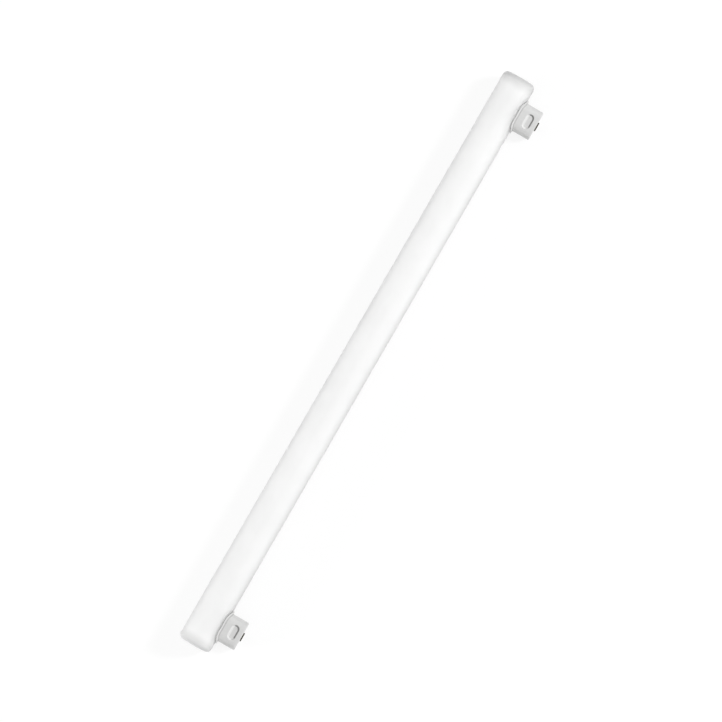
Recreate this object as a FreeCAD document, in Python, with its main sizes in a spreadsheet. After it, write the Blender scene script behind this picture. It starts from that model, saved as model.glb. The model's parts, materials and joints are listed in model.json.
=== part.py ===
import FreeCAD, Part
import math
import os
import Sketcher

# An opal linear lamp with a plug cap near each end of one side of its tube.
#
# Every piece is drawn in the lamp's own frame: X along the tube's axis, with the caps standing out
# towards -Y. A cap and what it holds are drawn with the cap's centre at X = 0 and then moved along the
# tube. All pieces are turned together about the tube's axis into the pose that the lamp takes when it
# is laid on a table, where it rests on its glass and on one edge of each cap.

doc = FreeCAD.newDocument("tubular_lamp")

# Driving dimensions, in millimetres
DIMENSIONS = (
    ("tube_length", 500.0, "glass tube, end to end"),
    ("tube_diameter", 27.0, "glass tube, outside"),
    ("tube_end_radius", 4.0, "rounding of the tube's end edges"),
    ("cap_inset", 25.0, "from a tube's end to a cap's centre, if both were equal"),
    ("cap_pair_shift", 1.3, "both caps' shift to the left, from how the tube was glued"),
    ("cap_length", 23.8, "cap body, along the tube"),
    ("cap_width", 14.0, "cap body, between its broad faces"),
    ("cap_height", 15.15, "from the glass to the cap's end face"),
    ("cap_chamfer", 0.8, "lead-in chamfer round the cap's end face"),
    ("cap_wall", 1.6, "moulded wall round the cap's cavity"),
    ("cap_end_wall", 2.0, "moulded wall at the cap's end"),
    ("collar_rim_along", 2.2, "collar's ledge beyond the cap body, along the tube"),
    ("collar_rim_across", 1.35, "collar's ledge beyond the cap body, across the tube"),
    ("collar_thickness", 0.65, "collar, square to the glass"),
    ("joint_gap", 0.45, "between the glass and the collar's saddle"),
    ("recess_length", 12.5, "latch recess at its mouth, along the tube"),
    ("recess_width", 6.7, "latch recess at its mouth, away from the tube"),
    ("recess_depth", 1.5, "latch recess, from the broad face to its floor"),
    ("recess_wall_run", 1.2, "run of the recess's steep walls, one of which holds the latch"),
    ("recess_ramp_run", 2.2, "run of the ramp on the tube's side, which leads the latch in"),
    ("recess_setback", 7.25, "from the cap's end face to the recess's centre"),
    ("recess_web", 1.3, "moulded wall behind the recess's floor"),
    ("contact_diameter", 7.3, "head of the contact"),
    ("contact_proud", 1.05, "contact's face above the cap's end face"),
    ("contact_seat_depth", 0.55, "counterbore that the contact's head sits in"),
    ("contact_fit", 0.05, "radial clearance round the contact"),
    ("shank_diameter", 3.5, "contact's shank through the end wall"),
    ("clinch_lip", 0.85, "how far the clinched flange stands out of the shank"),
    ("clinch_thickness", 0.6, "thickness of that flange"),
    ("lead_diameter", 1.4, "lead from the tube to the contact"),
    ("lead_fit", 0.05, "radial clearance of the lead in its holes"),
    ("lead_hole_depth", 1.2, "hole in the glass wall that the lead comes out of"),
    ("lead_socket_depth", 1.5, "hole in the shank that the lead is soldered into"),
    ("adhesive_inset", 0.8, "adhesive's edge, in from the collar's edge"),
    ("adhesive_clearance", 0.03, "left between the adhesive and each face that it bonds"),
)

sizes = doc.addObject("Spreadsheet::Sheet", "Sizes")
for row, (alias, value, note) in enumerate(DIMENSIONS, 1):
    sizes.set(f"A{row}", alias)
    sizes.set(f"B{row}", str(value))
    sizes.setAlias(f"B{row}", alias)
    sizes.set(f"C{row}", note)
doc.recompute()

# Places worked out from the driving dimensions. A floor, seat, end, face or centre is given by its
# distance from the tube's axis.
TUBE_RADIUS = "(Sizes.tube_diameter / 2)"
SADDLE_RADIUS = f"({TUBE_RADIUS} + Sizes.joint_gap)"
COLLAR_RADIUS = f"({SADDLE_RADIUS} + Sizes.collar_thickness)"
COLLAR_LENGTH = "(Sizes.cap_length + 2 * Sizes.collar_rim_along)"
COLLAR_WIDTH = "(Sizes.cap_width + 2 * Sizes.collar_rim_across)"
CAP_END = f"({TUBE_RADIUS} + Sizes.cap_height)"
CAVITY_LENGTH = "(Sizes.cap_length - 2 * Sizes.cap_wall)"
CAVITY_WIDTH = "(Sizes.cap_width - 2 * Sizes.cap_wall)"
CAVITY_FLOOR = f"({CAP_END} - Sizes.cap_end_wall)"
RECESS_CENTRE = f"({CAP_END} - Sizes.recess_setback)"
CONTACT_RADIUS = "(Sizes.contact_diameter / 2)"
CONTACT_SEAT = f"({CAP_END} - Sizes.contact_seat_depth)"
CONTACT_FACE = f"({CAP_END} + Sizes.contact_proud)"
CLINCH_END = f"({CAVITY_FLOOR} - Sizes.clinch_thickness)"
LEAD_SOCKET_FLOOR = f"({CLINCH_END} + Sizes.lead_socket_depth)"
LEAD_HOLE_FLOOR = f"({TUBE_RADIUS} - Sizes.lead_hole_depth)"
LEAD_HOLE_DIAMETER = "(Sizes.lead_diameter + 2 * Sizes.lead_fit)"

# A circle wider than a cap in every direction, and a cut deeper than a cap is high
SURROUND = f"(2 * ({COLLAR_LENGTH} + {COLLAR_WIDTH}))"
THROUGH = f"({COLLAR_LENGTH} + {CAP_END})"

QUARTER_TURN = math.pi / 2
HALF_TURN = math.pi
FULL_TURN = 2 * math.pi
TOLERANCE = 1e-4


def value_of(expression):
    """The number that an expression on the sheet comes to."""
    return float(sizes.evalExpression(expression))


# Sketches


def new_body(label):
    """An empty body whose label names the piece."""
    body = doc.addObject("PartDesign::Body", label)
    body.Label = label
    return body


def origin_plane(body, role):
    """One of the body's own origin planes."""
    return next(feature for feature in body.Origin.OriginFeatures if feature.Role == role)


def new_sketch(body, role, name, offset=None):
    """A sketch on one of the body's own origin planes, or moved along the plane's normal by offset."""
    sketch = body.newObject("Sketcher::SketchObject", name)
    sketch.AttachmentSupport = [(origin_plane(body, role), "")]
    sketch.MapMode = "FlatFace"
    if offset:
        sketch.setExpression("AttachmentOffset.Base.z", offset)
    return sketch


def bind(sketch, constraint, expression):
    """Adds a dimension to the sketch and ties it to the sheet."""
    index = sketch.addConstraint(constraint)
    sketch.setExpression(f"Constraints[{index}]", expression)


def draw_stadium(sketch, length, width, depth=None):
    """An obround with its length across the sketch, centred on the origin or at a depth below it."""
    radius = value_of(width) / 2
    reach = value_of(length) / 2 - radius
    level = -value_of(depth) if depth else 0.0
    up = FreeCAD.Vector(0, 0, 1)
    right_circle = Part.Circle(FreeCAD.Vector(reach, level), up, radius)
    left_circle = Part.Circle(FreeCAD.Vector(-reach, level), up, radius)
    top_line = Part.LineSegment(
        FreeCAD.Vector(reach, level + radius), FreeCAD.Vector(-reach, level + radius)
    )
    bottom_line = Part.LineSegment(
        FreeCAD.Vector(-reach, level - radius), FreeCAD.Vector(reach, level - radius)
    )
    right = sketch.addGeometry(Part.ArcOfCircle(right_circle, -QUARTER_TURN, QUARTER_TURN))
    left = sketch.addGeometry(Part.ArcOfCircle(left_circle, QUARTER_TURN, 3 * QUARTER_TURN))
    top = sketch.addGeometry(top_line)
    bottom = sketch.addGeometry(bottom_line)
    for first, second in ((right, top), (top, left), (left, bottom), (bottom, right)):
        sketch.addConstraint(Sketcher.Constraint("Tangent", first, 2, second, 1))
    sketch.addConstraint(Sketcher.Constraint("Equal", right, left))
    sketch.addConstraint(Sketcher.Constraint("Symmetric", right, 3, left, 3, -2))
    if depth:
        bind(sketch, Sketcher.Constraint("DistanceY", right, 3, -1, 1, -level), depth)
    else:
        sketch.addConstraint(Sketcher.Constraint("PointOnObject", right, 3, -1))
    bind(sketch, Sketcher.Constraint("DistanceX", left, 3, right, 3, 2 * reach), f"{length} - {width}")
    bind(sketch, Sketcher.Constraint("Radius", right, radius), f"{width} / 2")


def draw_circle(sketch, diameter, across=None):
    """A circle centred on the origin, or moved across the sketch."""
    place = value_of(across) if across else 0.0
    size = value_of(diameter)
    circle = Part.Circle(FreeCAD.Vector(place, 0), FreeCAD.Vector(0, 0, 1), size / 2)
    index = sketch.addGeometry(circle)
    sketch.addConstraint(Sketcher.Constraint("PointOnObject", index, 3, -1))
    if across:
        bind(sketch, Sketcher.Constraint("DistanceX", -1, 1, index, 3, place), across)
    else:
        sketch.addConstraint(Sketcher.Constraint("PointOnObject", index, 3, -2))
    bind(sketch, Sketcher.Constraint("Diameter", index, size), diameter)


def draw_outline(sketch, corners):
    """A closed outline of straight lines. Each corner is a pair of expressions: across, and depth down."""
    places = [FreeCAD.Vector(value_of(across), -value_of(depth)) for across, depth in corners]
    lines = []
    for start, end in zip(places, places[1:] + places[:1]):
        lines.append(sketch.addGeometry(Part.LineSegment(start, end)))
    for before, after in zip(lines[-1:] + lines[:-1], lines):
        sketch.addConstraint(Sketcher.Constraint("Coincident", before, 2, after, 1))
    for line, place, (across, depth) in zip(lines, places, corners):
        if across == "0":
            sketch.addConstraint(Sketcher.Constraint("PointOnObject", line, 1, -2))
        else:
            bind(sketch, Sketcher.Constraint("DistanceX", -1, 1, line, 1, place.x), across)
        if depth == "0":
            sketch.addConstraint(Sketcher.Constraint("PointOnObject", line, 1, -1))
        else:
            bind(sketch, Sketcher.Constraint("DistanceY", line, 1, -1, 1, -place.y), depth)


def draw_band(sketch, length, inner, outer):
    """The section of a layer along the tube, between two distances from the tube's axis."""
    right = f"({length} / 2)"
    left = f"(-{length} / 2)"
    draw_outline(sketch, [(right, inner), (right, outer), (left, outer), (left, inner)])


# Features


def pad(body, sketch, name, length, midplane=False):
    """Raises a sketch by a length that is tied to the sheet."""
    feature = body.newObject("PartDesign::Pad", name)
    feature.Profile = sketch
    feature.Midplane = midplane
    feature.setExpression("Length", length)
    return feature


def pocket(body, sketch, name, length, outwards=False):
    """Cuts a sketch in, or outwards from the tube's axis, and makes sure that something was cut."""
    doc.recompute()
    before = body.Shape.Volume
    feature = body.newObject("PartDesign::Pocket", name)
    feature.Profile = sketch
    feature.Reversed = outwards
    feature.setExpression("Length", length)
    doc.recompute()
    if feature.Shape.Volume >= before:
        raise RuntimeError(f"{body.Label}: {name} cuts nothing")
    return feature


def turn(body, kind, sketch, name, axis, angle=FULL_TURN):
    """Turns a sketch about one of its own axes, adding or cutting, evenly to both sides."""
    feature = body.newObject(kind, name)
    feature.Profile = sketch
    feature.ReferenceAxis = (sketch, [axis])
    feature.Angle = math.degrees(angle)
    feature.Midplane = True
    return feature


def trim_to_stadium(body, name, length, width):
    """Cuts away what lies outside a stadium round the cap's axis."""
    sketch = new_sketch(body, "XZ_Plane", f"{name}_outline")
    draw_circle(sketch, SURROUND)
    draw_stadium(sketch, length, width)
    pocket(body, sketch, name, THROUGH, outwards=True)


def finish_edges(body, kind, name, size, wanted):
    """Fillets or chamfers the edges whose ends and middle all pass the test."""
    doc.recompute()
    base = body.Tip
    names = []
    for number, edge in enumerate(base.Shape.Edges, 1):
        points = [vertex.Point for vertex in edge.Vertexes]
        points.append(edge.valueAt((edge.FirstParameter + edge.LastParameter) / 2))
        if all(wanted(point) for point in points):
            names.append(f"Edge{number}")
    if not names:
        raise RuntimeError(f"{body.Label}: {name} finds no edge")
    feature = body.newObject(kind, name)
    feature.Base = (base, names)
    feature.setExpression("Radius" if kind == "PartDesign::Fillet" else "Size", size)
    doc.recompute()


# Opal glass tube: drawn glass, closed with flat ends and round edges. Its wall is pierced under each
# cap for the lead.


def make_tube(label, cap_places):
    body = new_body(label)
    outline = new_sketch(body, "YZ_Plane", f"{label}_outline")
    draw_circle(outline, "Sizes.tube_diameter")
    pad(body, outline, f"{label}_glass", "Sizes.tube_length", midplane=True)
    end = value_of("Sizes.tube_length / 2")

    def on_end(point):
        return abs(abs(point.x) - end) < TOLERANCE

    finish_edges(body, "PartDesign::Fillet", f"{label}_ends", "Sizes.tube_end_radius", on_end)
    holes = new_sketch(body, "XZ_Plane", f"{label}_lead_holes", TUBE_RADIUS)
    for place in cap_places:
        draw_circle(holes, LEAD_HOLE_DIAMETER, place)
    pocket(body, holes, f"{label}_lead_exits", "Sizes.lead_hole_depth")
    return body


# Cap shell: one plastic moulding. A stadium body stands on a collar whose underside is a saddle for
# the glass. It is hollow down to its end wall, and its wall swells inwards behind each latch recess.


def make_cap_shell(label):
    body = new_body(label)
    block = new_sketch(body, "XZ_Plane", f"{label}_block_outline")
    draw_stadium(block, "Sizes.cap_length", "Sizes.cap_width")
    pad(body, block, f"{label}_block", CAP_END)

    band = new_sketch(body, "XY_Plane", f"{label}_collar_section")
    draw_band(band, COLLAR_LENGTH, SADDLE_RADIUS, COLLAR_RADIUS)
    turn(body, "PartDesign::Revolution", band, f"{label}_collar", "H_Axis", HALF_TURN)
    trim_to_stadium(body, f"{label}_collar_trim", COLLAR_LENGTH, COLLAR_WIDTH)

    glass = new_sketch(body, "XY_Plane", f"{label}_saddle_section")
    draw_band(glass, SURROUND, "0", SADDLE_RADIUS)
    turn(body, "PartDesign::Groove", glass, f"{label}_saddle", "H_Axis")

    cavity = new_sketch(body, "XZ_Plane", f"{label}_cavity_outline")
    draw_stadium(cavity, CAVITY_LENGTH, CAVITY_WIDTH)
    pocket(body, cavity, f"{label}_cavity", CAVITY_FLOOR, outwards=True)

    add_latch_recesses(body, label)

    seat = new_sketch(body, "XZ_Plane", f"{label}_contact_seat_outline", CAP_END)
    draw_circle(seat, "Sizes.contact_diameter + 2 * Sizes.contact_fit")
    pocket(body, seat, f"{label}_contact_seat", "Sizes.contact_seat_depth")
    hole = new_sketch(body, "XZ_Plane", f"{label}_shank_hole_outline", CAP_END)
    draw_circle(hole, "Sizes.shank_diameter + 2 * Sizes.contact_fit")
    pocket(body, hole, f"{label}_shank_hole", "Sizes.cap_end_wall")

    end = value_of(CAP_END)
    seat_radius = value_of(f"{CONTACT_RADIUS} + Sizes.contact_fit")

    def round_end_face(point):
        outside_seat = math.hypot(point.x, point.z) > seat_radius + TOLERANCE
        return abs(point.y + end) < TOLERANCE and outside_seat

    finish_edges(body, "PartDesign::Chamfer", f"{label}_lead_in", "Sizes.cap_chamfer", round_end_face)
    return body


def add_latch_recesses(body, label):
    """A latch recess in each broad face, and the swelling behind its floor. Its walls are steep, and on the
    tube's side a ramp fills the corner and leads the latch in."""
    face = "(Sizes.cap_width / 2)"
    recess_floor = f"({face} - Sizes.recess_depth)"
    swelling_face = f"({recess_floor} - Sizes.recess_web)"

    # The swelling reaches into the middle of the cap's wall
    swelling = new_sketch(body, "XY_Plane", f"{label}_swelling_outline", swelling_face)
    draw_stadium(swelling, "Sizes.recess_length", "Sizes.recess_width", RECESS_CENTRE)
    swelling_height = f"{face} - Sizes.cap_wall / 2 - {swelling_face}"
    swell = pad(body, swelling, f"{label}_swelling", swelling_height)

    mouth = new_sketch(body, "XY_Plane", f"{label}_recess_mouth", face)
    draw_stadium(mouth, "Sizes.recess_length", "Sizes.recess_width", RECESS_CENTRE)
    foot = new_sketch(body, "XY_Plane", f"{label}_recess_foot", recess_floor)
    foot_length = "(Sizes.recess_length - 2 * Sizes.recess_wall_run)"
    foot_width = "(Sizes.recess_width - 2 * Sizes.recess_wall_run)"
    draw_stadium(foot, foot_length, foot_width, RECESS_CENTRE)
    doc.recompute()
    before = body.Shape.Volume
    recess = body.newObject("PartDesign::SubtractiveLoft", f"{label}_recess")
    recess.Profile = mouth
    recess.Sections = [foot]
    recess.Ruled = True
    doc.recompute()
    if recess.Shape.Volume >= before:
        raise RuntimeError(f"{label}: the latch recess cuts nothing")

    # The ramp's section is drawn square to the tube, and its ends lie in the walls of the recess
    section = new_sketch(body, "YZ_Plane", f"{label}_ramp_section")
    ramp_top = f"({RECESS_CENTRE} - Sizes.recess_width / 2)"
    ramp_foot = f"({ramp_top} + Sizes.recess_ramp_run)"
    corners = [(ramp_top, face), (ramp_foot, recess_floor), (ramp_top, recess_floor)]
    draw_outline(section, [(f"(-{reach})", f"(-{level})") for reach, level in corners])
    ramp = pad(body, section, f"{label}_ramp", "Sizes.cap_length - Sizes.cap_width", midplane=True)

    other_side = body.newObject("PartDesign::Mirrored", f"{label}_other_side")
    other_side.Originals = [swell, recess, ramp]
    other_side.MirrorPlane = (origin_plane(body, "XY_Plane"), [""])
    body.Tip = other_side
    doc.recompute()


# Contact: turned brass. Its head sits in the counterbore, its shank goes through the end wall, and a
# clinched flange holds it from inside. The lead is soldered into the hole in the shank.


def make_contact(label):
    body = new_body(label)
    section = new_sketch(body, "XY_Plane", f"{label}_section")
    head = CONTACT_RADIUS
    shank = "Sizes.shank_diameter / 2"
    clinch = f"{shank} + Sizes.clinch_lip"
    socket = f"{LEAD_HOLE_DIAMETER} / 2"
    corners = [
        ("0", CONTACT_FACE),
        (head, CONTACT_FACE),
        (head, CONTACT_SEAT),
        (shank, CONTACT_SEAT),
        (shank, CAVITY_FLOOR),
        (clinch, CAVITY_FLOOR),
        (clinch, CLINCH_END),
        (socket, CLINCH_END),
        (socket, LEAD_SOCKET_FLOOR),
        ("0", LEAD_SOCKET_FLOOR),
    ]
    draw_outline(section, corners)
    turn(body, "PartDesign::Revolution", section, f"{label}_turning", "V_Axis")
    return body


# Lead: a short insulated wire from the hole in the glass to the socket in the contact


def make_lead(label):
    body = new_body(label)
    section = new_sketch(body, "XZ_Plane", f"{label}_section", LEAD_HOLE_FLOOR)
    draw_circle(section, "Sizes.lead_diameter")
    pad(body, section, f"{label}_wire", f"{LEAD_SOCKET_FLOOR} - {LEAD_HOLE_FLOOR}")
    return body


# Adhesive bed: fills the joint between the glass and the saddle, round the cavity's mouth, and stops
# short of the collar's edge, where the joint shows as a dark line.


def make_adhesive(label):
    body = new_body(label)
    layer = new_sketch(body, "XY_Plane", f"{label}_section")
    inner = f"({TUBE_RADIUS} + Sizes.adhesive_clearance)"
    outer = f"({SADDLE_RADIUS} - Sizes.adhesive_clearance)"
    draw_band(layer, COLLAR_LENGTH, inner, outer)
    turn(body, "PartDesign::Revolution", layer, f"{label}_layer", "H_Axis", HALF_TURN)
    length = f"({COLLAR_LENGTH} - 2 * Sizes.adhesive_inset)"
    width = f"({COLLAR_WIDTH} - 2 * Sizes.adhesive_inset)"
    trim_to_stadium(body, f"{label}_trim", length, width)
    mouth = new_sketch(body, "XZ_Plane", f"{label}_mouth_outline")
    draw_stadium(mouth, CAVITY_LENGTH, CAVITY_WIDTH)
    pocket(body, mouth, f"{label}_mouth", THROUGH, outwards=True)
    return body


# The pieces, with one cap near each end of the tube
HALF_SPACING = "(Sizes.tube_length / 2 - Sizes.cap_inset)"
CAP_PLACES = {
    "left": f"(-{HALF_SPACING} - Sizes.cap_pair_shift)",
    "right": f"({HALF_SPACING} - Sizes.cap_pair_shift)",
}
pieces = [(make_tube("opal_tube", CAP_PLACES.values()), "0")]
for side, place in CAP_PLACES.items():
    pieces.append((make_cap_shell(f"{side}_cap_shell"), place))
    pieces.append((make_contact(f"{side}_contact"), place))
    pieces.append((make_lead(f"{side}_lead"), place))
    pieces.append((make_adhesive(f"{side}_adhesive"), place))

# The pose on a table. The caps dip by the angle at which the corner of a cap's lead-in chamfer is as
# low as the glass, and the frame's origin is on the table, under the middle of the lamp's box.
CORNER_REACH = f"({CAP_END} - Sizes.cap_chamfer)"
CORNER_DEPTH = "(Sizes.cap_width / 2)"
CORNER_SPAN = f"sqrt({CORNER_REACH} ^ 2 + {CORNER_DEPTH} ^ 2)"
REST_ANGLE = f"(asin({TUBE_RADIUS} / {CORNER_SPAN}) - atan({CORNER_DEPTH} / {CORNER_REACH}))"
FRONT = f"({CONTACT_FACE} * cos({REST_ANGLE}) + {CONTACT_RADIUS} * sin({REST_ANGLE}))"
for body, place in pieces:
    body.Placement.Rotation = FreeCAD.Rotation(FreeCAD.Vector(1, 0, 0), value_of(REST_ANGLE))
    body.setExpression("Placement.Rotation.Angle", REST_ANGLE)
    body.setExpression("Placement.Base.x", place)
    body.setExpression("Placement.Base.y", f"({FRONT} - {TUBE_RADIUS}) / 2")
    body.setExpression("Placement.Base.z", TUBE_RADIUS)
doc.recompute()

# Every object has to be sound before any piece is written
for item in doc.Objects:
    if "Invalid" in item.State or "Error" in item.State:
        raise RuntimeError(f"{item.Name}: {item.State}")
for body, place in pieces:
    if body.Shape.isNull() or not body.Shape.isValid() or len(body.Shape.Solids) != 1:
        raise RuntimeError(f"{body.Label}: not one valid solid")

os.makedirs("parts", exist_ok=True)
for body, place in pieces:
    body.Shape.exportStep(f"parts/{body.Label}.step")
    print(f"{body.Label}: {body.Shape.Volume:.1f} mm3")
print(f"rest angle {value_of(REST_ANGLE):.4f} degrees, tube axis at Y {pieces[0][0].Placement.Base.y:.5f}")
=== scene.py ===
import json
import math

import bmesh
import bpy
import numpy as np
from mathutils import Matrix, Vector


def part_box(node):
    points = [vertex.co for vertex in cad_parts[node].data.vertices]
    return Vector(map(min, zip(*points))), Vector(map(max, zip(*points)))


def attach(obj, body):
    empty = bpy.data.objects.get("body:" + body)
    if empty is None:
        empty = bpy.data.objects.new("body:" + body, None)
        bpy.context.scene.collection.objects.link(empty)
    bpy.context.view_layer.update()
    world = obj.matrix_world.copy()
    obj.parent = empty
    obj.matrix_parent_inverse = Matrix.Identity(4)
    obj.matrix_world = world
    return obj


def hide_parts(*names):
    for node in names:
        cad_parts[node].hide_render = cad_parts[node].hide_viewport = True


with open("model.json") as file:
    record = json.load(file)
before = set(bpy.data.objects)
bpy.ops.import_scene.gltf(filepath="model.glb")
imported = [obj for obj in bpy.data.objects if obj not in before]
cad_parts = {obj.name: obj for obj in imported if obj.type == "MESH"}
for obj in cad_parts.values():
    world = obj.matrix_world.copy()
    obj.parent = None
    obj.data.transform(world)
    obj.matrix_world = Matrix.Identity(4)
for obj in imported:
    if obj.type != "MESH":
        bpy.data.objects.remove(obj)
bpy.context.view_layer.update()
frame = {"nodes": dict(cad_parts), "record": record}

# Opal tube: one length of drawn glass, closed at both ends, coated white inside and sealed. The wall is
# pierced under each cap for the lead. It is by far the largest piece, and everything else is glued to it.

# Sizes are in millimetres, and MM brings them into the frame's metres. The caps stand out of the tube in
# CAP_DIRECTION, ACROSS is square to that and to the tube, and a cap's place is how far along it stands.
MM = 0.001
tube_low, tube_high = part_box("opal_tube")
HALF_TUBE = (tube_high.x - tube_low.x) / 2 / MM
TUBE_RADIUS = (tube_high.z - tube_low.z) / 2 / MM
TUBE_AXIS = np.array(((tube_low + tube_high) / 2).to_tuple()) / MM * (0, 1, 1)
MOUNTS = {mount["name"]: mount for mount in frame["record"]["mounts"]}
ALONG = np.array((1.0, 0.0, 0.0))
CAP_DIRECTION = np.array(MOUNTS["left_contact_face"]["axis"])
ACROSS = np.cross(CAP_DIRECTION, ALONG)
CAP_PLACES = {side: MOUNTS[f"{side}_contact_face"]["pos_m"][0] / MM for side in ("left", "right")}

END_ROUNDING = 4.0
END_ROUNDING_STEPS = 20
END_ROW = 1.2
TUBE_ROW = 4.0
TUBE_COLUMNS = 168
TUBE_TURN = np.arange(TUBE_COLUMNS + 1) * 2 * math.pi / TUBE_COLUMNS
HOLE_COLUMNS = 3
HOLE_RINGS = 2
LEAD_HOLE_RADIUS = 0.75
LEAD_HOLE_DEPTH = 1.2
LEAD_HOLE_RIM = 0.1
LEAD_HOLE_EDGE = 0.08


def rounded(corners, steps=8):
    """A profile of straight lines with rounded corners. A corner is (x, y, radius). Its arc is centred on
    the corner's bisector, radius / sin(half the corner's angle) from it, and its points turn evenly."""
    points = []
    for number, (x, y, radius) in enumerate(corners):
        here = np.array((x, y), float)
        if not radius:
            points.append(here)
            continue
        back = np.array(corners[number - 1][:2]) - here
        ahead = np.array(corners[number + 1][:2]) - here
        back /= np.linalg.norm(back)
        ahead /= np.linalg.norm(ahead)
        half = math.acos(back @ ahead) / 2
        middle = (back + ahead) / np.linalg.norm(back + ahead)
        centre = here + middle * radius / math.sin(half)
        start = here + back * radius / math.tan(half) - centre
        end = here + ahead * radius / math.tan(half) - centre
        sweep = math.pi - 2 * half
        share = np.linspace(0, 1, steps + 1)[:, None]
        weights = np.sin((1 - share) * sweep), np.sin(share * sweep)
        points.extend(centre + (weights[0] * start + weights[1] * end) / math.sin(sweep))
    return np.array(points)


def divided(points, longest):
    """The same profile with its long runs divided evenly, so that none is longer than the given length."""
    runs = [points[:1]]
    for start, end in zip(points[:-1], points[1:]):
        count = max(1, math.ceil(np.linalg.norm(end - start) / longest - 1e-6))
        runs.append(start + (end - start) * (np.arange(1, count + 1) / count)[:, None])
    return np.concatenate(runs)


def sunk_patch(xs, ys, spine, profile, margin_rings):
    """Rings of points that lead from the border of a rectangular patch to an obround hollow in its middle.
    The obround at distance r from its spine has the points (spine * p + r * cos(a), r * sin(a)), where the
    angle a turns round the spine's ends and p runs along it between them. The profile's rows are (r,
    depth). Gives x, y and depth, each with one row to a ring."""
    middle_row = len(ys) // 2
    border = np.concatenate((
        np.stack((np.full(len(ys) - middle_row, xs[-1]), ys[middle_row:]), 1),
        np.stack((xs[-2::-1], np.full(len(xs) - 1, ys[-1])), 1),
        np.stack((np.full(len(ys) - 1, xs[0]), ys[-2::-1]), 1),
        np.stack((xs[1:], np.full(len(xs) - 1, ys[0])), 1),
        np.stack((np.full(middle_row, xs[-1]), ys[1 : middle_row + 1]), 1),
    ))
    walked = np.concatenate(((0,), np.cumsum(np.linalg.norm(np.diff(border, axis=0), axis=1))))
    quarter = profile[0, 0] * math.pi / 2
    lengths = np.cumsum((0, quarter, 2 * spine, 2 * quarter, 2 * spine, quarter))
    place = walked / walked[-1] * lengths[-1]
    angle = np.interp(place, lengths, np.array((0, 1, 1, 3, 3, 4)) * math.pi / 2)
    along = np.interp(place, lengths, (1, 1, -1, -1, 1, 1))
    distance = profile[:, :1]
    x = spine * along + distance * np.cos(angle)
    y = distance * np.sin(angle)
    share = np.linspace(0, 1, margin_rings + 1)[:-1, None]
    x = np.concatenate((border[:, 0] * (1 - share) + x[0] * share, x))
    y = np.concatenate((border[:, 1] * (1 - share) + y[0] * share, y))
    depth = np.concatenate((np.zeros(margin_rings), profile[:, 1]))
    return x, y, np.broadcast_to(depth[:, None], x.shape)


def new_object(name, data):
    """A new object in the scene, with that mesh, light or camera."""
    made = bpy.data.objects.new(name, data)
    bpy.context.scene.collection.objects.link(made)
    return made


def piece_from_sheets(name, sheets):
    """One closed mesh from several grids of points in millimetres. Neighbours in a grid are the corners of
    a face, points that coincide are merged, and the faces are turned outwards."""
    points, faces, start = [], [], 0
    for sheet in sheets:
        number = start + np.arange(sheet.shape[0] * sheet.shape[1]).reshape(sheet.shape[:2])
        corners = (number[:-1, :-1], number[:-1, 1:], number[1:, 1:], number[1:, :-1])
        faces.append(np.stack(corners, -1).reshape(-1, 4))
        points.append(sheet.reshape(-1, 3) * MM)
        start += number.size
    mesh = bpy.data.meshes.new(name)
    mesh.from_pydata(np.concatenate(points), [], np.concatenate(faces).tolist())
    work = bmesh.new()
    work.from_mesh(mesh)
    bmesh.ops.remove_doubles(work, verts=work.verts, dist=1e-6)
    bmesh.ops.recalc_face_normals(work, faces=work.faces)
    work.to_mesh(mesh)
    work.free()
    mesh.shade_smooth()
    return new_object(name, mesh)


def on_tube(x, angle, radius):
    """Points at a distance x along the tube, an angle round it from the caps' direction, and a radius from
    its axis: radius * cos(angle) in the caps' direction and radius * sin(angle) across."""
    x, angle, radius = (value[..., None] for value in np.broadcast_arrays(x, angle, radius))
    turned = radius * np.cos(angle) * CAP_DIRECTION + radius * np.sin(angle) * ACROSS
    return x * ALONG + turned + TUBE_AXIS


def plain_wall(start, stop):
    """The tube's wall from one place along it to another, in even rows of one radius."""
    rows = divided(np.array(((start, 0), (stop, 0))), TUBE_ROW)[:, :1]
    return on_tube(rows, TUBE_TURN, TUBE_RADIUS)


def make_tube():
    """The tube is a profile turned about its axis: a flat end, a quarter round, the straight wall, and the
    same again. Round each lead's hole the wall is a patch of rings that goes down into the glass."""
    corners = (0, HALF_TUBE, 0), (TUBE_RADIUS, HALF_TUBE, END_ROUNDING), (TUBE_RADIUS, 0, 0)
    end = divided(rounded(corners, END_ROUNDING_STEPS)[:-1], END_ROW)
    radius, from_middle = end[:, :1], end[:, 1:]
    hole = rounded((
        (LEAD_HOLE_RADIUS + LEAD_HOLE_RIM, 0, 0),
        (LEAD_HOLE_RADIUS, 0, LEAD_HOLE_EDGE),
        (LEAD_HOLE_RADIUS, LEAD_HOLE_DEPTH, 0),
        (0, LEAD_HOLE_DEPTH, 0),
    ), steps=4)
    beside_hole = TUBE_TURN[HOLE_COLUMNS : TUBE_COLUMNS + 1 - HOLE_COLUMNS]
    patch = np.arange(-HOLE_COLUMNS, HOLE_COLUMNS + 1) * 2 * math.pi / TUBE_COLUMNS * TUBE_RADIUS
    x, y, depth = sunk_patch(patch, patch, 0, hole, HOLE_RINGS)
    sheets = [on_tube(-from_middle, TUBE_TURN, radius), on_tube(from_middle, TUBE_TURN, radius)]
    start = -from_middle[-1, 0]
    for place in CAP_PLACES.values():
        sheets.append(plain_wall(start, place + patch[0]))
        sheets.append(on_tube(place + patch[:, None], beside_hole, TUBE_RADIUS))
        sheets.append(on_tube(place + x, y / TUBE_RADIUS, TUBE_RADIUS - depth))
        start = place + patch[-1]
    sheets.append(plain_wall(start, from_middle[-1, 0]))
    return piece_from_sheets("opal_tube_glass", sheets)


def feed(tree, node, sockets):
    """Sets a node's inputs, by name or number: another node's output is linked, a plain value is set."""
    for name, value in sockets.items():
        if isinstance(value, bpy.types.NodeSocket):
            tree.links.new(value, node.inputs[name])
        else:
            node.inputs[name].default_value = value


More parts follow.
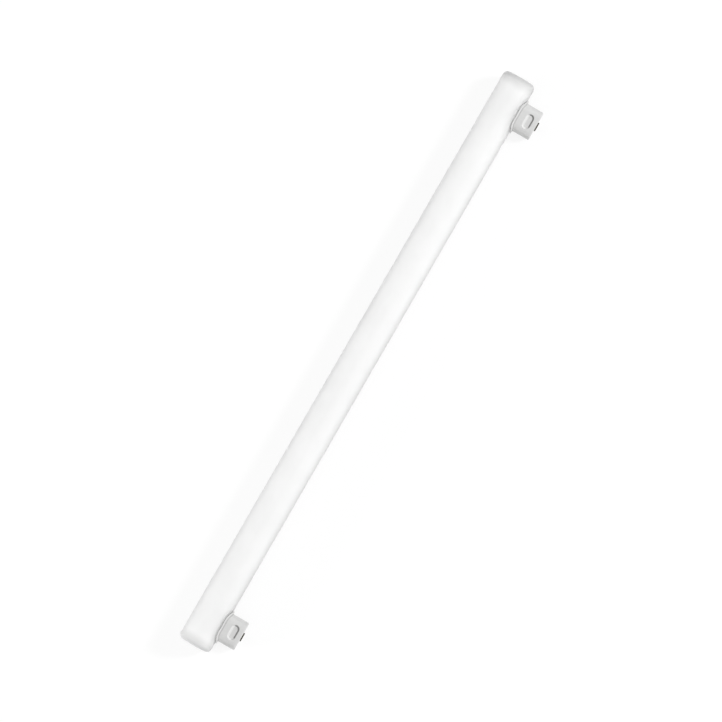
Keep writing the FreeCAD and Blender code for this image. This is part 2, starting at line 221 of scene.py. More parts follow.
def add_node(tree, kind, inputs=None, **settings):
    """A shader node with its settings and inputs."""
    node = tree.nodes.new(kind)
    for name, value in settings.items():
        setattr(node, name, value)
    feed(tree, node, inputs or {})
    return node


def math_node(tree, operation, *values):
    """The output of a Math node whose inputs are the values, in order."""
    inputs = dict(enumerate(values))
    return add_node(tree, "ShaderNodeMath", inputs, operation=operation).outputs["Value"]


def mapped(tree, value, low, high, new_low, new_high, kind="SMOOTHSTEP"):
    """A value carried from one range to another, held at the ends."""
    inputs = {
        "Value": value,
        "From Min": low,
        "From Max": high,
        "To Min": new_low,
        "To Max": new_high,
    }
    return add_node(tree, "ShaderNodeMapRange", inputs, interpolation_type=kind).outputs["Result"]


def noise(tree, vector, scale, detail=3.0, roughness=0.5):
    """A Noise texture's value at a scale given in cycles to the metre."""
    inputs = {"Vector": vector, "Scale": scale, "Detail": detail, "Roughness": roughness}
    return add_node(tree, "ShaderNodeTexNoise", inputs).outputs["Fac"]


def mixed(tree, share, first, second):
    """A colour between two colours, each a plain colour or another node's output. For colours, a Mix node
    takes the share at input 0 and the two colours at 6 and 7, and gives the mixed colour at output 2."""
    inputs = {0: share, 6: first, 7: second}
    return add_node(tree, "ShaderNodeMix", inputs, data_type="RGBA").outputs[2]


def bumped(tree, height, distance):
    """A normal raised by a height from 0 to 1, where 1 stands for the given distance in millimetres."""
    inputs = {"Height": height, "Distance": distance * MM, "Strength": 1.0}
    return add_node(tree, "ShaderNodeBump", inputs).outputs["Normal"]


def new_material(name):
    """A material with its own Principled shader. Gives the material, its node tree, the shader and the
    object's coordinates."""
    material = bpy.data.materials.new(name)
    material.use_nodes = True
    tree = material.node_tree
    place = add_node(tree, "ShaderNodeTexCoord").outputs["Object"]
    return material, tree, tree.nodes["Principled BSDF"], place


def mask_group(name, inputs):
    """An empty shader node group that puts out one mask. An input's kind is Float or Vector."""
    tree = bpy.data.node_groups.new(name, "ShaderNodeTree")
    for socket, kind in inputs.items():
        tree.interface.new_socket(socket, in_out="INPUT", socket_type=f"NodeSocket{kind}")
    tree.interface.new_socket("Mask", in_out="OUTPUT", socket_type="NodeSocketFloat")
    return tree, tree.nodes.new("NodeGroupInput").outputs, tree.nodes.new("NodeGroupOutput")


# No finish here is quite even: noise spread over the whole range from 0 to 1, with soft ends, says how far
# each place lies between two near colours or gloss levels.
noise_inputs = {"Vector": "Vector", "Scale": "Float", "Detail": "Float", "Roughness": "Float"}
mottling, given, result = mask_group("mottling", noise_inputs)
uneven = noise(mottling, given["Vector"], given["Scale"], given["Detail"], given["Roughness"])
feed(mottling, result, {"Mask": mapped(mottling, uneven, 0.3, 0.7, 0.0, 1.0)})


def mottled(tree, place, scale, detail=3.0, roughness=0.5):
    """Places the group of mottling and gives its mask."""
    inputs = {"Vector": place, "Scale": scale, "Detail": detail, "Roughness": roughness}
    return add_node(tree, "ShaderNodeGroup", inputs, node_tree=mottling).outputs["Mask"]


# Fingers and packing leave faint dull patches on every smooth piece: two layers of noise, the broad one
# deciding where the fine one shows.
FINE_TO_BROAD = 7.0
handling_inputs = {"Vector": "Vector", "Scale": "Float", "Amount": "Float"}
handling, given, result = mask_group("handling_marks", handling_inputs)
broad = noise(handling, given["Vector"], given["Scale"], 2.0)
fine_scale = math_node(handling, "MULTIPLY", given["Scale"], FINE_TO_BROAD)
fine = noise(handling, given["Vector"], fine_scale, 5.0, 0.62)
patches = mapped(handling, broad, 0.48, 0.68, 0.0, 1.0)
streaks = mapped(handling, fine, 0.35, 0.75, 0.0, 1.0)
both = math_node(handling, "MULTIPLY", patches, streaks)
feed(handling, result, {"Mask": math_node(handling, "MULTIPLY", both, given["Amount"])})


def handling_marks(tree, place, scale, amount):
    """Places the group of handling marks and gives its mask."""
    inputs = {"Vector": place, "Scale": scale, "Amount": amount}
    return add_node(tree, "ShaderNodeGroup", inputs, node_tree=handling).outputs["Mask"]


# White opal glass: nearly even white, a little thinner in places. It is greyer at each end, where no light
# strip stands behind it. Its outline is painted grey as well, most in the rim of each end and, by the angle
# at which it is seen, along its sides: painted shade, some of which clear glass over the white would give.
COATED_WHITES = (0.852, 0.852, 0.850, 1), (0.874, 0.874, 0.872, 1)
UNBACKED_WHITES = (0.640, 0.640, 0.639, 1), (0.660, 0.660, 0.658, 1)
OUTLINE_SHADE_GREY = (0.44, 0.44, 0.44, 1)
STRIP_SHADE = 2.0 * MM, 10.8 * MM
STRIP_WANDER = 2.0 * MM
RIM_SHADE_FROM_END = 0.8 * MM, 4.2 * MM
RIM_SHADE_FROM_AXIS = 5.0 * MM, 9.3 * MM
opal_glass, tree, shader, place = new_material("opal_glass")
x_place = add_node(tree, "ShaderNodeSeparateXYZ", {"Vector": place}).outputs["X"]
from_end = math_node(tree, "SUBTRACT", HALF_TUBE * MM, math_node(tree, "ABSOLUTE", x_place))
wander = math_node(tree, "MULTIPLY_ADD", noise(tree, place, 70.0), 2 * STRIP_WANDER, -STRIP_WANDER)
backed = mapped(tree, math_node(tree, "ADD", from_end, wander), *STRIP_SHADE, 0.0, 1.0)
flattened = add_node(tree, "ShaderNodeVectorMath", {0: place, 1: (0, 1, 1)}, operation="MULTIPLY")
to_axis = {0: flattened.outputs["Vector"], 1: Vector(TUBE_AXIS * MM)}
from_axis = add_node(tree, "ShaderNodeVectorMath", to_axis, operation="DISTANCE").outputs["Value"]
# Painted shade: the rim round each end and the slanted sides are painted towards a grey.
near_end = mapped(tree, from_end, *RIM_SHADE_FROM_END, 0.6, 0.0)
rim = math_node(tree, "MULTIPLY", near_end, mapped(tree, from_axis, *RIM_SHADE_FROM_AXIS, 0.1, 1.0))
facing = add_node(tree, "ShaderNodeLayerWeight", {"Blend": 0.5}).outputs["Facing"]
painted_slant_shade = mapped(tree, facing, 0.25, 0.8, 0.0, 0.38)
# The outline's painted shade, from the rim and the slant together.
clear = math_node(tree, "MAXIMUM", rim, painted_slant_shade)
cloud = mottled(tree, place, 34.0, 4.0, 0.55)
white = mixed(tree, backed, mixed(tree, cloud, *UNBACKED_WHITES), mixed(tree, cloud, *COATED_WHITES))
drawn = add_node(tree, "ShaderNodeMapping", {"Vector": place, "Scale": (0.04, 1.0, 1.0)})
ripple = noise(tree, drawn.outputs["Vector"], 260.0, 2.0)
marks = handling_marks(tree, place, 38.0, 0.16)
feed(tree, shader, {
    "Base Color": mixed(tree, clear, white, OUTLINE_SHADE_GREY),
    "Roughness": math_node(tree, "ADD", marks, 0.3),
    "IOR": 1.5,
    "Specular IOR Level": 0.35,
    "Subsurface Weight": 1.0,
    "Subsurface Radius": (1.0, 1.0, 1.0),
    "Subsurface Scale": 0.02,
    "Normal": bumped(tree, ripple, 0.04),
})

tube = make_tube()
tube.data.materials.append(opal_glass)
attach(tube, "root")
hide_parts("opal_tube")

# Leads: a short insulated wire runs from each hole in the glass to the contact. They are hidden in the
# caps and keep the shape that the frame gives them, with white silicone insulation.

NODES = frame["nodes"]
INSULATION_WHITES = (0.76, 0.755, 0.735, 1), (0.83, 0.825, 0.81, 1)
lead_insulation, tree, shader, place = new_material("lead_insulation")
feed(tree, shader, {
    "Base Color": mixed(tree, mottled(tree, place, 900.0, 4.0), *INSULATION_WHITES),
    "Roughness": math_node(tree, "MULTIPLY_ADD", mottled(tree, place, 2600.0), 0.18, 0.5),
    "Normal": bumped(tree, noise(tree, place, 5200.0, 2.0), 0.01),
})
for side in CAP_PLACES:
    NODES[f"{side}_lead"].data.materials.clear()
    NODES[f"{side}_lead"].data.materials.append(lead_insulation)

# Contacts: turned brass buttons, each with its head in the counterbore of a cap's end face, its shank
# through the wall and a clinched flange inside. The lead is soldered into the shank's blind hole.

face_centre = np.array(MOUNTS["left_contact_face"]["pos_m"]) / MM
CONTACT_FACE = float(np.dot(face_centre - TUBE_AXIS, CAP_DIRECTION))
CONTACT_PROUD = 1.05
CAP_END = CONTACT_FACE - CONTACT_PROUD
CAP_END_WALL = 2.0
CAVITY_END = CAP_END - CAP_END_WALL
HEAD_RADIUS = 3.65
HEAD_EDGE = 0.28
HEAD_SEAT = CAP_END - 0.55
HEAD_SEAT_EDGE = 0.1
NECK_ROOT = 0.08
SHANK_RADIUS = 1.75
CLINCH_RADIUS = SHANK_RADIUS + 0.85
CLINCH_BACK = CAVITY_END - 0.6
CLINCH_EDGE = 0.12
CLINCH_BACK_EDGE = 0.22
SOCKET_END = CLINCH_BACK + 1.5
SOCKET_CORNER = 0.1
CONTACT_COLUMNS = 96
CONTACT_ROW = 0.3


def on_cap(along, across, reach, place):
    """Points in a cap's own frame: a distance along the tube from the cap's centre, one across the cap,
    and a reach away from the tube's axis in the caps' direction."""
    along, across, reach = (value[..., None] for value in np.broadcast_arrays(along, across, reach))
    return (place + along) * ALONG + across * ACROSS + reach * CAP_DIRECTION + TUBE_AXIS


def cap_frame(piece, place):
    """The same the other way round: how far each point of a piece lies along, across and out in a cap's
    own frame, as its offset from the cap's place on the axis times the three directions."""
    points = np.empty(len(piece.data.vertices) * 3, np.float32)
    piece.data.vertices.foreach_get("co", points)
    offset = points.reshape(-1, 3) / MM - TUBE_AXIS - place * ALONG
    return offset @ ALONG, offset @ ACROSS, offset @ CAP_DIRECTION


def keep_value(piece, name, values):
    """Stores a value for each point of the piece as an attribute that its material reads."""
    piece.data.attributes.new(name, "FLOAT", "POINT").data.foreach_set("value", values.astype(np.float32))


def make_contact(side):
    """The button is a profile turned about the cap's axis. Each point keeps as the attribute turned_length
    how far the tool has come there: its distance from the axis and its depth behind the face, added."""
    profile = divided(rounded((
        (0, CONTACT_FACE, 0),
        (HEAD_RADIUS, CONTACT_FACE, HEAD_EDGE),
        (HEAD_RADIUS, HEAD_SEAT, HEAD_SEAT_EDGE),
        (SHANK_RADIUS, HEAD_SEAT, NECK_ROOT),
        (SHANK_RADIUS, CAVITY_END, NECK_ROOT),
        (CLINCH_RADIUS, CAVITY_END, CLINCH_EDGE),
        (CLINCH_RADIUS, CLINCH_BACK, CLINCH_BACK_EDGE),
        (LEAD_HOLE_RADIUS, CLINCH_BACK, CLINCH_EDGE),
        (LEAD_HOLE_RADIUS, SOCKET_END, SOCKET_CORNER),
        (0, SOCKET_END, 0),
    ), steps=6), CONTACT_ROW)
    angle = np.linspace(0, 2 * math.pi, CONTACT_COLUMNS + 1)
    radius, reach = profile[:, :1], profile[:, 1:]
    sheet = on_cap(radius * np.cos(angle), radius * np.sin(angle), reach, CAP_PLACES[side])
    piece = piece_from_sheets(f"{side}_contact_turning", [sheet])
    along, across, reach = cap_frame(piece, CAP_PLACES[side])
    keep_value(piece, "turned_length", np.hypot(along, across) + CONTACT_FACE - reach)
    return piece


# Dull brass: the tool's fine rings show in the light, and handling has turned it unevenly brown. Its
# whole tone is painted near black, far darker than brass: painted shade.
SHADED_BRASS_AND_BROWNED = (0.090, 0.081, 0.054, 1), (0.058, 0.053, 0.039, 1)
RING_SHADE = (0.048, 0.045, 0.033, 1)
RINGS_PER_MM = 7.0
contact_brass, tree, shader, place = new_material("contact_brass")
turned_length = add_node(tree, "ShaderNodeAttribute", attribute_name="turned_length").outputs["Fac"]
shake = math_node(tree, "MULTIPLY", noise(tree, place, 900.0), 0.3)
shaken = math_node(tree, "ADD", turned_length, shake)
wave = math_node(tree, "SINE", math_node(tree, "MULTIPLY", shaken, 2 * math.pi * RINGS_PER_MM))
rings = math_node(tree, "MULTIPLY_ADD", wave, 0.5, 0.5)
tarnish = mapped(tree, noise(tree, place, 420.0, 5.0, 0.6), 0.35, 0.68, 0.0, 1.0)
shaded_brass = mixed(tree, tarnish, *SHADED_BRASS_AND_BROWNED)
marks = handling_marks(tree, place, 260.0, 0.22)
feed(tree, shader, {
    # Painted shade: the rings' valleys are painted darker still.
    "Base Color": mixed(tree, math_node(tree, "MULTIPLY", rings, 0.25), shaded_brass, RING_SHADE),
    "Metallic": 1.0,
    "Roughness": math_node(tree, "ADD", marks, 0.34),
    "Normal": bumped(tree, rings, 0.006),
})

for side in CAP_PLACES:
    contact = make_contact(side)
    contact.data.materials.append(contact_brass)
    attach(contact, "root")
    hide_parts(f"{side}_contact")

# Cap shells: a light grey plastic moulding near each end of the tube, both on one side. A hollow stadium
# body stands on a collar that is bent to the glass and glued down, and each of its broad faces has a latch
# recess with a ramp on the tube's side.

CAP_SPINE = 4.9
CAP_HALF_WIDTH = 7.0
CAP_WALL = 1.6
SADDLE_RADIUS = TUBE_RADIUS + 0.45
COLLAR_RADIUS = SADDLE_RADIUS + 0.65
COLLAR_RIM_ALONG = 2.2
COLLAR_RIM_ACROSS = 1.35
BENT_ABOVE_COLLAR = 0.5
RECESS_CENTRE = CAP_END - 7.25
RECESS_SPINE = 2.9
RECESS_RADIUS = 3.35
RECESS_DEPTH = 1.5
RECESS_WEB = 1.3
PATCH_MARGIN = 0.75
PATCH_LOW = RECESS_CENTRE - RECESS_RADIUS - PATCH_MARGIN
PATCH_HIGH = RECESS_CENTRE + RECESS_RADIUS + PATCH_MARGIN
PATCH_ANGLE = 0.42
ARC_STEPS = 29
FINE_ARC_STEPS = 12
SIDE_STEPS = 20


def stadium_walk():
    """The walk round a stadium as an angle a and a place p: with a spine s and a radius r, the stadium's
    points are (s * p + r * cos(a), r * sin(a)). One quarter is an arc, a finer arc and half of a side."""
    turn = np.concatenate((
        np.linspace(0, math.pi / 2 - PATCH_ANGLE, ARC_STEPS + 1)[:-1],
        np.linspace(math.pi / 2 - PATCH_ANGLE, math.pi / 2, FINE_ARC_STEPS + 1),
        np.full(SIDE_STEPS, math.pi / 2),
    ))
    side = np.concatenate((
        np.ones(ARC_STEPS + FINE_ARC_STEPS + 1),
        np.linspace(1, 0, SIDE_STEPS + 1)[1:],
    ))
    angle = np.concatenate((turn, math.pi - turn[-2::-1]))
    place = np.concatenate((side, -side[-2::-1]))
    return np.concatenate((angle, math.pi + angle[1:])), np.concatenate((place, -place[1:]))


ANGLE, SPINE_PLACE = stadium_walk()


def stadium_rows(profile, bent_to=COLLAR_RADIUS + BENT_ABOVE_COLLAR):
    """Rows of points round the cap, one for each (step out from the body's wall, height) of a profile. Up
    to the height bent_to a row follows the tube: its height is a radius about the tube's axis, so it
    reaches sqrt(height^2 - across^2). From the recess's patch on a row is plane, and in between it goes
    evenly from one to the other. Outside the wall the spine widens, because the rim is broader along the
    tube than across it."""
    step, height = profile[:, :1], profile[:, 1:]
    widening = (COLLAR_RIM_ALONG - COLLAR_RIM_ACROSS) / COLLAR_RIM_ACROSS
    spine = CAP_SPINE + np.maximum(step, 0) * widening
    radius = CAP_HALF_WIDTH + step
    along = spine * SPINE_PLACE + radius * np.cos(ANGLE)
    across = radius * np.sin(ANGLE)
    bent = np.sqrt(height ** 2 - across ** 2)
    flatness = np.clip((height - bent_to) / (PATCH_LOW - bent_to), 0, 1)
    return along, across, bent + (height - bent) * flatness


def circle_rows(profile):
    """Rows of points round the cap's axis, one for each (radius, height) of a profile. A point stands at
    (radius * cos(t), radius * sin(t)), where t is a full turn times the share of the body's outline that
    has been walked, so that the points of a circle match those of the stadium round it."""
    walked = np.concatenate(((0,), np.cumsum(np.hypot(
        np.diff(CAP_SPINE * SPINE_PLACE + CAP_HALF_WIDTH * np.cos(ANGLE)),
        np.diff(CAP_HALF_WIDTH * np.sin(ANGLE)),
    ))))
    turn = walked / walked[-1] * 2 * math.pi
    radius, height = profile[:, :1], profile[:, 1:]
    return radius * np.cos(turn), radius * np.sin(turn), np.broadcast_to(height, (len(profile), len(turn)))


def between(rows, next_rows, count):
    """Rows that lead evenly from the last of some rows to the first of the next, both included."""
    share = np.linspace(0, 1, count + 1)[:, None]
    return tuple(first[-1] * (1 - share) + second[0] * share for first, second in zip(rows, next_rows))


COLLAR_UNDER_EDGE = 0.16
COLLAR_LIP = 0.34
ROOT_FILLET = 0.42
END_FACE_EDGE = 0.9
END_FACE_RING = 2.0
OUTSIDE_ROW = 0.3


def outside_rows():
    """The skin's outside in two stretches: from the cavity's mouth over the saddle, the collar's lip and
    the root to the recesses, and from there over the end face's rounded edge."""
    foot = rounded((
        (-CAP_WALL, SADDLE_RADIUS, 0),
        (COLLAR_RIM_ACROSS, SADDLE_RADIUS, COLLAR_UNDER_EDGE),
        (COLLAR_RIM_ACROSS, COLLAR_RADIUS, COLLAR_LIP),
        (0, COLLAR_RADIUS, ROOT_FILLET),
        (0, PATCH_LOW, 0),
    ))
    end = rounded((
        (0, PATCH_HIGH, 0),
        (0, CAP_END, END_FACE_EDGE),
        (-END_FACE_RING, CAP_END, 0),
    ))
    return stadium_rows(divided(foot, OUTSIDE_ROW)), stadium_rows(divided(end, OUTSIDE_ROW))


CONTACT_CLEARANCE = 0.05
SEAT_RADIUS = HEAD_RADIUS + CONTACT_CLEARANCE
SEAT_RING = 0.25
SEAT_MOUTH_EDGE = 0.14
SEAT_CORNER = 0.08
HOLE_RADIUS = SHANK_RADIUS + CONTACT_CLEARANCE
HOLE_RING = 0.35
HOLE_EDGE = 0.1
SEAT_ROW = 0.4


def seat_rows():
    """The contact's counterbore and hole, from the end face down to the cavity."""
    profile = rounded((
        (SEAT_RADIUS + SEAT_RING, CAP_END, 0),
        (SEAT_RADIUS, CAP_END, SEAT_MOUTH_EDGE),
        (SEAT_RADIUS, HEAD_SEAT, SEAT_CORNER),
        (HOLE_RADIUS, HEAD_SEAT, HOLE_EDGE),
        (HOLE_RADIUS, CAVITY_END, HOLE_EDGE),
        (HOLE_RADIUS + HOLE_RING, CAVITY_END, 0),
    ), steps=5)
    return circle_rows(divided(profile, SEAT_ROW))


CAVITY_CORNER = 0.4
CAVITY_END_RING = 0.9
CAVITY_ROW = 0.6
CAVITY_MOUTH_ROW = 0.5


def inside_rows():
    """The skin's inside in two stretches: from the cavity's end down to the swellings, and from there to
    the cavity's mouth at the saddle, where the rows bend to the tube again."""
    end = rounded((
        (-CAP_WALL - CAVITY_END_RING, CAVITY_END, 0),
        (-CAP_WALL, CAVITY_END, CAVITY_CORNER),
        (-CAP_WALL, PATCH_HIGH, 0),
    ), steps=5)
    mouth = np.array(((-CAP_WALL, PATCH_LOW), (-CAP_WALL, SADDLE_RADIUS)))
    mouth = stadium_rows(divided(mouth, CAVITY_MOUTH_ROW), SADDLE_RADIUS)
    return stadium_rows(divided(end, CAVITY_ROW)), mouth


RECESS_EDGE = 0.3
RECESS_WALL_RUN = 1.2
RECESS_FLOOR_EDGE = 0.35
RECESS_ROW = 0.25


def recess_profile():
    """A recess from its mouth to the middle of its floor, in rows of (distance from the spine, share of the
    depth)."""
    profile = rounded((
        (RECESS_RADIUS + RECESS_EDGE, 0, 0),
        (RECESS_RADIUS, 0, RECESS_EDGE),
        (RECESS_RADIUS - RECESS_WALL_RUN, RECESS_DEPTH, RECESS_FLOOR_EDGE),
        (0, RECESS_DEPTH, 0),
    ), steps=6)
    return divided(profile, RECESS_ROW) / (1, RECESS_DEPTH)


SWELLING_HEIGHT = RECESS_DEPTH + RECESS_WEB - CAP_WALL
SWELLING_ROOT = 0.15
SWELLING_EDGE = 0.25
SWELLING_RING = 0.25
SWELLING_ROW = 0.5


def swelling_profile():
    """The swelling inside that keeps the web behind a recess even, in rows like the recess's own."""
    profile = rounded((
        (RECESS_RADIUS + SWELLING_RING, 0, 0),
        (RECESS_RADIUS, 0, SWELLING_ROOT),
        (RECESS_RADIUS, SWELLING_HEIGHT, SWELLING_EDGE),
        (0, SWELLING_HEIGHT, 0),
    ), steps=4)
    return divided(profile, SWELLING_ROW) / (1, SWELLING_HEIGHT)


RECESS_RAMP_RUN = 2.2
RAMP_EDGE = 0.1
RAMP_CORNER = 0.1
PATCH_ROWS = 32
PATCH_RINGS = 4


def under_ramp(depth, y):
    """A recess's depth where a ramp fills its corner on the tube's side. The ramp goes down evenly with y
    from the mouth's edge, which a parabola rounds. Of the walls' depth w and the ramp's depth d the lesser
    counts, and (w + d - sqrt((w - d)^2 + c^2)) / 2 rounds the line where they meet, with c for the
    corner."""
    ramp = (y + RECESS_RADIUS) / RECESS_RAMP_RUN
    ramp = np.maximum(ramp, np.clip(ramp + RAMP_EDGE, 0, 2 * RAMP_EDGE) ** 2 / (4 * RAMP_EDGE))
    return np.maximum((depth + ramp - np.sqrt((depth - ramp) ** 2 + RAMP_CORNER ** 2)) / 2, 0)


def wall_sheets(half_width, face, profile, ramped=False):
    """The stretch of a wall that holds the two recesses, or the two swellings behind them: plain rows
    round both ends, and on each broad side a patch of rings. A point of a patch stands at wall - depth *
    (wall - face), so its depth of 0 to 1 leads from the wall to the face. A ramped patch has the recess's
    ramp."""
    rows = RECESS_CENTRE + np.linspace(-1, 1, PATCH_ROWS + 1) * (RECESS_RADIUS + PATCH_MARGIN)
    along = CAP_SPINE * SPINE_PLACE + half_width * np.cos(ANGLE)
    across = half_width * np.sin(ANGLE)
    half = len(ANGLE) // 2
    patch_start, patch_end = ARC_STEPS, half - ARC_STEPS
    sheets = []
    for start, stop in ((0, patch_start), (patch_end, half + patch_start), (half + patch_end, 2 * half)):
        columns = slice(start, stop + 1)
        sheets.append((along[columns], across[columns], rows[:, None]))
    xs = along[patch_start : patch_end + 1][::-1]
    x, y, depth = sunk_patch(xs, rows - RECESS_CENTRE, RECESS_SPINE, profile, PATCH_RINGS)
    if ramped:
        depth = under_ramp(depth, y)
    wall = np.sqrt(half_width ** 2 - np.maximum(np.abs(x) - CAP_SPINE, 0) ** 2)
    level = wall - depth * (wall - face)
    for sign in (1, -1):
        sheets.append((x, sign * level, RECESS_CENTRE + y))
    return sheets


ROOT_SHADE_REACH = 0.7
ROOT_SHADE_FULL = 0.2


def keep_shade_masks(piece, side):
    """Each point keeps as the attribute sunk how far it lies in a recess, from 0 at the broad face to 1 at
    the floor, and as a second attribute how near it is to the root, where the body's wall stands on the
    collar: the material paints shade there."""
    along, across, reach = cap_frame(piece, CAP_PLACES[side])
    along, across = np.abs(along), np.abs(across)
    in_mouth = np.hypot(np.maximum(along - RECESS_SPINE, 0), reach - RECESS_CENTRE) < RECESS_RADIUS
    keep_value(piece, "sunk", np.clip((CAP_HALF_WIDTH - across) / RECESS_DEPTH, 0, 1) * in_mouth)
    from_wall = np.hypot(np.maximum(along - CAP_SPINE, 0), across) - CAP_HALF_WIDTH
    from_collar = np.hypot(across, reach) - COLLAR_RADIUS
    from_root = np.hypot(from_wall, from_collar)
    root_darkness = (ROOT_SHADE_REACH - from_root) / (ROOT_SHADE_REACH - ROOT_SHADE_FULL)
    keep_value(piece, "root_shade", np.clip(root_darkness, 0, 1))


END_FACE_ROWS = 6
CAVITY_END_ROWS = 5


def make_cap_shell(side):
    """The shell is one skin of rows that runs from the cavity's mouth over the saddle, the collar's lip,
    the body and the end face, down the contact's seat and hole, and back down the inside of the wall."""
    foot, end = outside_rows()
    seat = seat_rows()
    cavity_end, mouth = inside_rows()
    end_face = between(end, seat, END_FACE_ROWS)
    cavity_floor = between(seat, cavity_end, CAVITY_END_ROWS)
    sheets = [foot, end, end_face, seat, cavity_floor, cavity_end, mouth]
    recess_floor = CAP_HALF_WIDTH - RECESS_DEPTH
    sheets += wall_sheets(CAP_HALF_WIDTH, recess_floor, recess_profile(), ramped=True)
    sheets += wall_sheets(CAP_HALF_WIDTH - CAP_WALL, recess_floor - RECESS_WEB, swelling_profile())
    piece = piece_from_sheets(f"{side}_plug_cap", [on_cap(*sheet, CAP_PLACES[side]) for sheet in sheets])
    keep_shade_masks(piece, side)
    return piece


# Light grey moulding: the tool's fine spark finish, flow lines that are hardly there and dull patches. A
# dark line is painted in the root over the collar: painted shade in the crease. In the recesses the ramp
# and one end, which face the light, are painted pale: a painted highlight. The walls that face away are
# painted dark: painted shade.
MOULDING_GREYS = (0.660, 0.660, 0.656, 1), (0.695, 0.695, 0.690, 1)
SPECK_GREY = (0.60, 0.60, 0.595, 1)
ROOT_SHADE_GREY = (0.20, 0.20, 0.195, 1)
PAINTED_HIGHLIGHT_GREY = (0.84, 0.84, 0.835, 1)
RECESS_SHADE_GREY = (0.16, 0.16, 0.155, 1)
LIGHT_SIDE = 0.8 * ALONG + 0.6 * CAP_DIRECTION
cap_moulding, tree, shader, place = new_material("cap_moulding")
flow = add_node(tree, "ShaderNodeMapping", {"Vector": place, "Scale": (1.0, 0.25, 0.25)})
tone = mottled(tree, flow.outputs["Vector"], 210.0, 4.0, 0.6)
speck = mapped(tree, noise(tree, place, 1500.0, 2.0), 0.62, 0.75, 0.0, 0.35)
speckled = mixed(tree, speck, mixed(tree, tone, *MOULDING_GREYS), SPECK_GREY)
# Painted shade: a dark line in the root over the collar.
root_shade = add_node(tree, "ShaderNodeAttribute", attribute_name="root_shade").outputs["Fac"]
deepest_root_shade = math_node(tree, "MULTIPLY_ADD", mottled(tree, place, 800.0), 0.18, 0.34)
root_shaded = mixed(tree, mapped(tree, root_shade, 0.0, 1.0, 0.0, deepest_root_shade), speckled, ROOT_SHADE_GREY)
sunk = add_node(tree, "ShaderNodeAttribute", attribute_name="sunk").outputs["Fac"]
in_recess = mapped(tree, sunk, 0.03, 0.22, 0.0, 1.0)
normal = add_node(tree, "ShaderNodeNewGeometry").outputs["Normal"]
to_light_side = {0: normal, 1: Vector(LIGHT_SIDE)}
to_light_side = add_node(tree, "ShaderNodeVectorMath", to_light_side, operation="DOT_PRODUCT").outputs["Value"]
# Painted highlight: recess walls that face the light are painted pale.
painted_highlight = math_node(tree, "MULTIPLY", in_recess, mapped(tree, to_light_side, 0.15, 0.42, 0.0, 0.8))
# Painted shade: recess walls that face away from the light are painted dark.
recess_shade = math_node(tree, "MULTIPLY", in_recess, mapped(tree, to_light_side, -0.42, -0.12, 0.72, 0.0))
pits = noise(tree, place, 3400.0, 3.0, 0.6)
marks = handling_marks(tree, place, 120.0, 0.2)
feed(tree, shader, {
    "Base Color": mixed(tree, recess_shade, mixed(tree, painted_highlight, root_shaded, PAINTED_HIGHLIGHT_GREY), RECESS_SHADE_GREY),
    "Roughness": math_node(tree, "ADD", marks, 0.42),
    "IOR": 1.5,
    "Normal": bumped(tree, pits, 0.02),
})

for side in CAP_PLACES:
    cap = make_cap_shell(side)
    cap.data.materials.append(cap_moulding)
    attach(cap, "root")
    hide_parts(f"{side}_cap_shell")

# Adhesive: a bed of cured adhesive holds each cap's saddle to the glass. It keeps the frame's shape and is
# seen only as the dark line under the collar. It is painted near black: painted shade for the gap there.

ADHESIVE_AND_GAP_SHADE_GREYS = (0.05, 0.05, 0.048, 1), (0.08, 0.08, 0.077, 1)
adhesive, tree, shader, place = new_material("adhesive")
lumps = mottled(tree, place, 700.0, 4.0, 0.6)
feed(tree, shader, {
    "Base Color": mixed(tree, lumps, *ADHESIVE_AND_GAP_SHADE_GREYS),
    "Roughness": math_node(tree, "MULTIPLY_ADD", mottled(tree, place, 1800.0), 0.25, 0.55),
    "Normal": bumped(tree, lumps, 0.05),
})
for side in CAP_PLACES:
    NODES[f"{side}_adhesive"].data.materials.clear()
    NODES[f"{side}_adhesive"].data.materials.append(adhesive)

# The table: a pale floor that reads as white to the camera and keeps the lamp's shadow. To the lamp itself
# it is plain grey. Its glow is a little less than white round the lamp, and white further off. From here
# on, distances away from the lamp are in metres.

FLOOR_HALF = 6.0
GLOW_BY_LAMP = 0.85
GLOW_FADE = 0.8, 2.5
PLAIN_GREY = (0.45, 0.45, 0.45, 1)
SHOWN_GREY = (0.17, 0.17, 0.17, 1)
WHITE = (1, 1, 1, 1)


def seen_directly(tree):
    """1 for a ray from the camera, from a mirror-like surface or through glass, and otherwise 0."""
    path = add_node(tree, "ShaderNodeLightPath").outputs
    either = math_node(tree, "MAXIMUM", path["Is Camera Ray"], path["Is Glossy Ray"])
    return math_node(tree, "MAXIMUM", either, path["Is Transmission Ray"])


table = bpy.data.materials.new("table")
table.use_nodes = True
tree = table.node_tree
tree.nodes.clear()
place = add_node(tree, "ShaderNodeTexCoord").outputs["Object"]
away = add_node(tree, "ShaderNodeVectorMath", {0: place}, operation="LENGTH").outputs["Value"]
strength = mapped(tree, away, *GLOW_FADE, GLOW_BY_LAMP, 1.0)
glow = add_node(tree, "ShaderNodeEmission", {"Color": WHITE, "Strength": strength}).outputs["Emission"]
plain = add_node(tree, "ShaderNodeBsdfDiffuse", {"Color": PLAIN_GREY}).outputs["BSDF"]
shown = add_node(tree, "ShaderNodeBsdfDiffuse", {"Color": SHOWN_GREY}).outputs["BSDF"]
bright = add_node(tree, "ShaderNodeAddShader", {0: shown, 1: glow}).outputs["Shader"]
surface = add_node(tree, "ShaderNodeMixShader", {0: seen_directly(tree), 1: plain, 2: bright})
add_node(tree, "ShaderNodeOutputMaterial", {"Surface": surface.outputs["Shader"]})

corners = FLOOR_HALF * np.array(((-1, -1, 0), (1, -1, 0), (1, 1, 0), (-1, 1, 0)))
floor_mesh = bpy.data.meshes.new("table")
floor_mesh.from_pydata(corners.tolist(), [], [(0, 1, 2, 3)])
floor_mesh.materials.append(table)
floor = new_object("table", floor_mesh)

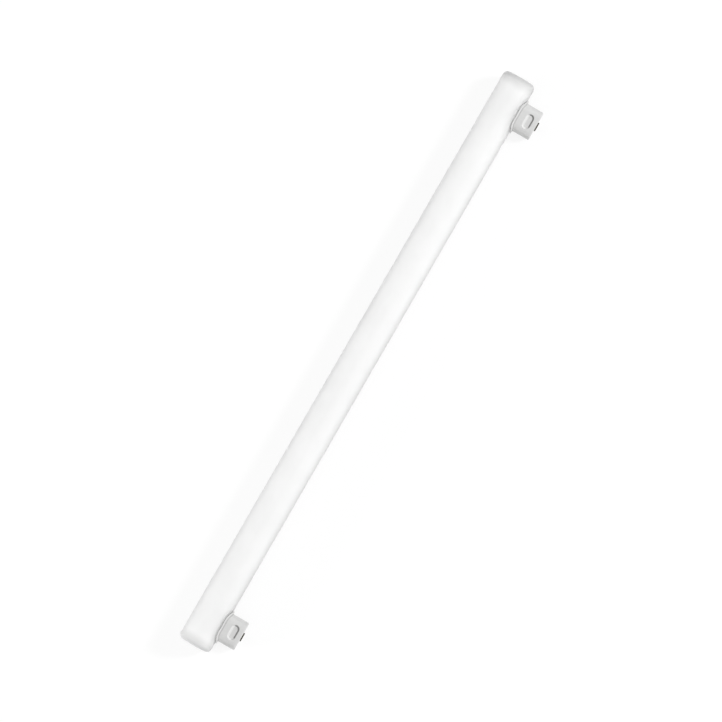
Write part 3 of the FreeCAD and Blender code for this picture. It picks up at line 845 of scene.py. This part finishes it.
# The light: an even white surround, a key high over the caps' right side and two low fills from the left
# end, one for the caps and one for the tube.

SURROUND_LEVEL = 0.54
world = bpy.data.worlds.new("surround")
bpy.context.scene.world = world
world.use_nodes = True
tree = world.node_tree
level = mapped(tree, seen_directly(tree), 0.0, 1.0, SURROUND_LEVEL, 1.0, "LINEAR")
feed(tree, tree.nodes["Background"], {"Color": WHITE, "Strength": level})


def add_soft_light(name, direction, distance, size, power):
    """A square soft light that faces the lamp from a direction. The camera doesn't see it, and it leaves
    no highlight: the photograph shows none, and one would burn out the far edge of the glass."""
    data = bpy.data.lights.new(name, "AREA")
    data.shape = "SQUARE"
    data.size = size
    data.energy = power
    light = new_object(name, data)
    direction = Vector(direction).normalized()
    turn = direction.to_track_quat("Z", "Y").to_matrix().to_4x4()
    light.matrix_world = Matrix.Translation(direction * distance) @ turn
    light.visible_camera = False
    light.visible_glossy = False


KEY_FROM = 0.5 * ALONG + 0.5 * CAP_DIRECTION + 0.707 * ACROSS
CAPS_FILL_FROM = -0.8 * ALONG + 0.3 * CAP_DIRECTION + 0.05 * ACROSS
TUBE_FILL_FROM = -0.6 * ALONG - 0.8 * CAP_DIRECTION + 0.04 * ACROSS
add_soft_light("key", KEY_FROM, distance=5.5, size=1.0, power=177.0)
add_soft_light("caps_fill", CAPS_FILL_FROM, distance=5.0, size=0.6, power=205.0)
add_soft_light("tube_fill", TUBE_FILL_FROM, distance=5.0, size=1.4, power=134.0)

# The camera looks square to the caps' broad faces, as in the photograph, with the lamp's right end up. It
# aims at a place on the lamp that is given along the tube and out from its axis in millimetres.

CAMERA_TURN = math.radians(29.982)
CAMERA_DISTANCE = 6.0
FRAME_WIDTH = 0.5516
SENSOR_WIDTH = 36.0
AIM_ALONG = 1.82
AIM_REACH = 2.33
right = math.sin(CAMERA_TURN) * ALONG + math.cos(CAMERA_TURN) * CAP_DIRECTION
up = math.cos(CAMERA_TURN) * ALONG - math.sin(CAMERA_TURN) * CAP_DIRECTION
aim = (TUBE_AXIS + AIM_ALONG * ALONG + AIM_REACH * CAP_DIRECTION) * MM
camera_data = bpy.data.cameras.new("camera")
camera_data.sensor_width = SENSOR_WIDTH
camera_data.lens = SENSOR_WIDTH * CAMERA_DISTANCE / FRAME_WIDTH
camera = new_object("camera", camera_data)
placing = np.eye(4)
placing[:3, :3] = np.column_stack((right, up, ACROSS))
placing[:3, 3] = aim + ACROSS * CAMERA_DISTANCE
camera.matrix_world = Matrix(placing.tolist())
bpy.context.scene.camera = camera
bpy.context.scene.view_settings.view_transform = "Standard"
